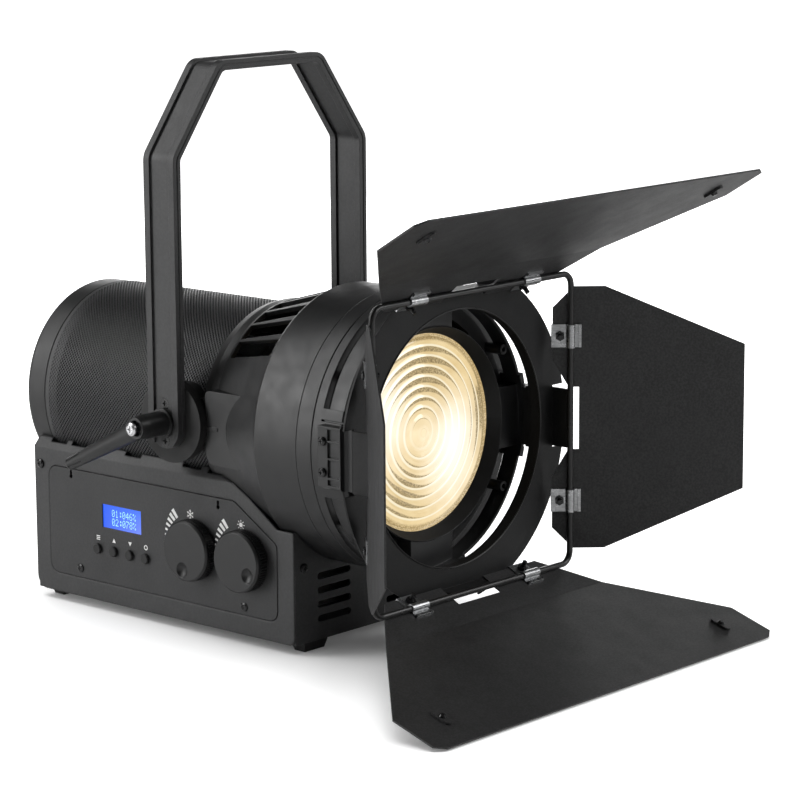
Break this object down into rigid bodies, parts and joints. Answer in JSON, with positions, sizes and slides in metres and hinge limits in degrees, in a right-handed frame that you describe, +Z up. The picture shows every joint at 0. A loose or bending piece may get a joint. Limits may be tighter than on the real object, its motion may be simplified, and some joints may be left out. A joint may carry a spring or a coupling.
{
  "type": "fresnel spotlight",
  "caption": "Fresnel spotlight: perforated lamp barrel on a control box, ribbed front housing with a stepped lens, hanging yoke with clamp lever, and a rotating barndoor with folding leaves.",
  "frame": {"origin": "the centre of the hanging hole in the top of the yoke; the optical axis runs 227.75 mm below it", "axes": "+Z up with the spotlight standing on its base, light leaves towards -Y, +X to the right seen from the front, so the control panel faces -X"},
  "size_m": [0.3482, 0.4667, 0.371],
  "materials": {
    "powder_black": "fine textured powder coat, satin",
    "sheet_black": "matt heat-proof black paint",
    "mesh_black": "perforated sheet, satin black",
    "moulded_black": "moulded housing, satin black",
    "rubber_black": "matt",
    "screw_black": "blackened steel, semi-gloss",
    "steel_bright": "bright",
    "galvanised": "galvanised sheet, satin",
    "aluminium_plain": "plain machined",
    "reflector_silver": "polished",
    "zinc_sheet": "zinc-plated sheet",
    "circuit_board": "solder-masked laminate",
    "led_phosphor": "phosphor-coated light source",
    "display_glass": "backlit blue display",
    "lens_glass": "stepped lens with a fine stippled back"
  },
  "bodies": {
    "housing": {"base_tray": "powder_black", "side_cover_left": "powder_black", "side_cover_right": "powder_black", "control_plate": "powder_black", "display_window": "display_glass", "control_board": "circuit_board", "power_supply": "zinc_sheet", "power_inlet": "moulded_black", "signal_sockets": "moulded_black", "rubber_feet": "rubber_black", "case_screws": "screw_black", "barrel_mesh": "mesh_black", "rear_ring": "powder_black", "rear_cap": "moulded_black", "front_housing": "moulded_black", "front_ring": "moulded_black", "fresnel_lens": "lens_glass", "accessory_clips": "moulded_black", "accessory_clip_screws": "screw_black", "guide_rods": "steel_bright"},
    "carriage": {"carriage_plate": "aluminium_plain", "heatsink": "aluminium_plain", "light_module": "led_phosphor", "reflector": "reflector_silver", "fan_frame": "moulded_black"},
    "fan_rotor": {"fan_rotor": "moulded_black"},
    "focus_screw": {"focus_screw": "steel_bright", "focus_knob": "rubber_black"},
    "yoke": {"yoke_bracket": "powder_black", "friction_discs": "moulded_black", "yoke_screws": "screw_black", "pivot_bolt": "screw_black"},
    "clamp_lever": {"clamp_lever": "moulded_black", "lever_screw": "steel_bright"},
    "cool_level_knob": {"cool_level_knob": "moulded_black"},
    "warm_level_knob": {"warm_level_knob": "moulded_black"},
    "button_menu": {"button_menu": "rubber_black"},
    "button_up": {"button_up": "rubber_black"},
    "button_down": {"button_down": "rubber_black"},
    "button_enter": {"button_enter": "rubber_black"},
    "barndoor": {"barndoor_plate": "sheet_black", "turn_ring": "sheet_black", "wire_frame": "sheet_black"},
    "leaf_top": {"leaf_top": "sheet_black", "hinge_clips_top": "galvanised", "leaf_fasteners_top": "screw_black"},
    "leaf_bottom": {"leaf_bottom": "sheet_black", "hinge_clips_bottom": "galvanised", "leaf_fasteners_bottom": "screw_black"},
    "leaf_left": {"leaf_left": "sheet_black", "hinge_clips_left": "galvanised", "leaf_fasteners_left": "screw_black"},
    "leaf_right": {"leaf_right": "sheet_black", "hinge_clips_right": "galvanised", "leaf_fasteners_right": "screw_black"},
    "latch_top_left": {"latch_top_left": "sheet_black"},
    "latch_top_right": {"latch_top_right": "sheet_black"},
    "latch_bottom_left": {"latch_bottom_left": "sheet_black"},
    "latch_bottom_right": {"latch_bottom_right": "sheet_black"}
  },
  "joints": [
    {"name": "yoke_tilt", "type": "hinge", "parent": "housing", "child": "yoke", "pos_m": [0, 0, -0.22575], "axis": [1, 0, 0], "range_deg": [-120, 40]},
    {"name": "clamp_lever_turn", "type": "hinge", "parent": "yoke", "child": "clamp_lever", "pos_m": [-0.1, 0, -0.22575], "axis": [1, 0, 0], "range_deg": [-180, 180]},
    {"name": "focus_slide", "type": "slide", "parent": "housing", "child": "carriage", "axis": [0, 1, 0], "range_m": [-0.03, 0.03]},
    {"name": "focus_screw_turn", "type": "hinge", "parent": "housing", "child": "focus_screw", "pos_m": [0, 0.1, -0.28475], "axis": [0, 1, 0], "range_deg": [-900, 900]},
    {"name": "fan_spin", "type": "hinge", "parent": "carriage", "child": "fan_rotor", "pos_m": [0, 0.025, -0.22775], "axis": [0, 1, 0], "continuous": true},
    {"name": "cool_knob_turn", "type": "hinge", "parent": "housing", "child": "cool_level_knob", "pos_m": [-0.075, -0.0064, -0.31135], "axis": [1, 0, 0], "range_deg": [-234, 66]},
    {"name": "warm_knob_turn", "type": "hinge", "parent": "housing", "child": "warm_level_knob", "pos_m": [-0.075, -0.0524, -0.31135], "axis": [1, 0, 0], "range_deg": [-138, 162]},
    {"name": "button_menu_press", "type": "slide", "parent": "housing", "child": "button_menu", "axis": [1, 0, 0], "range_m": [0, 0.0008]},
    {"name": "button_up_press", "type": "slide", "parent": "housing", "child": "button_up", "axis": [1, 0, 0], "range_m": [0, 0.0008]},
    {"name": "button_down_press", "type": "slide", "parent": "housing", "child": "button_down", "axis": [1, 0, 0], "range_m": [0, 0.0008]},
    {"name": "button_enter_press", "type": "slide", "parent": "housing", "child": "button_enter", "axis": [1, 0, 0], "range_m": [0, 0.0008]},
    {"name": "barndoor_turn", "type": "hinge", "parent": "housing", "child": "barndoor", "pos_m": [0, -0.17, -0.22775], "axis": [0, 1, 0], "continuous": true},
    {"name": "leaf_top_fold", "type": "hinge", "parent": "barndoor", "child": "leaf_top", "pos_m": [0, -0.185, -0.13275], "axis": [1, 0, 0], "range_deg": [-50, 40]},
    {"name": "leaf_bottom_fold", "type": "hinge", "parent": "barndoor", "child": "leaf_bottom", "pos_m": [0, -0.185, -0.32275], "axis": [-1, 0, 0], "range_deg": [-63, 27]},
    {"name": "leaf_right_fold", "type": "hinge", "parent": "barndoor", "child": "leaf_right", "pos_m": [0.095, -0.185, -0.22775], "axis": [0, 0, -1], "range_deg": [-47, 98]},
    {"name": "leaf_left_fold", "type": "hinge", "parent": "barndoor", "child": "leaf_left", "pos_m": [-0.095, -0.185, -0.22775], "axis": [0, 0, 1], "range_deg": [-47, 98]},
    {"name": "latch_top_left_turn", "type": "hinge", "parent": "leaf_top", "child": "latch_top_left", "pos_m": [-0.137, -0.26517, -0.07805], "axis": [0, 0.515, 0.8572], "range_deg": [-90, 90]},
    {"name": "latch_top_right_turn", "type": "hinge", "parent": "leaf_top", "child": "latch_top_right", "pos_m": [0.137, -0.26517, -0.07805], "axis": [0, 0.515, 0.8572], "range_deg": [-90, 90]},
    {"name": "latch_bottom_left_turn", "type": "hinge", "parent": "leaf_bottom", "child": "latch_bottom_left", "pos_m": [-0.137, -0.27542, -0.35801], "axis": [0, 0.309, -0.9511], "range_deg": [-90, 90]},
    {"name": "latch_bottom_right_turn", "type": "hinge", "parent": "leaf_bottom", "child": "latch_bottom_right", "pos_m": [0.137, -0.27542, -0.35801], "axis": [0, 0.309, -0.9511], "range_deg": [-90, 90]}
  ],
  "couplings": [
    {"joint": "focus_screw_turn", "follows": "focus_slide", "rad_per_m": 523.6}
  ]
}
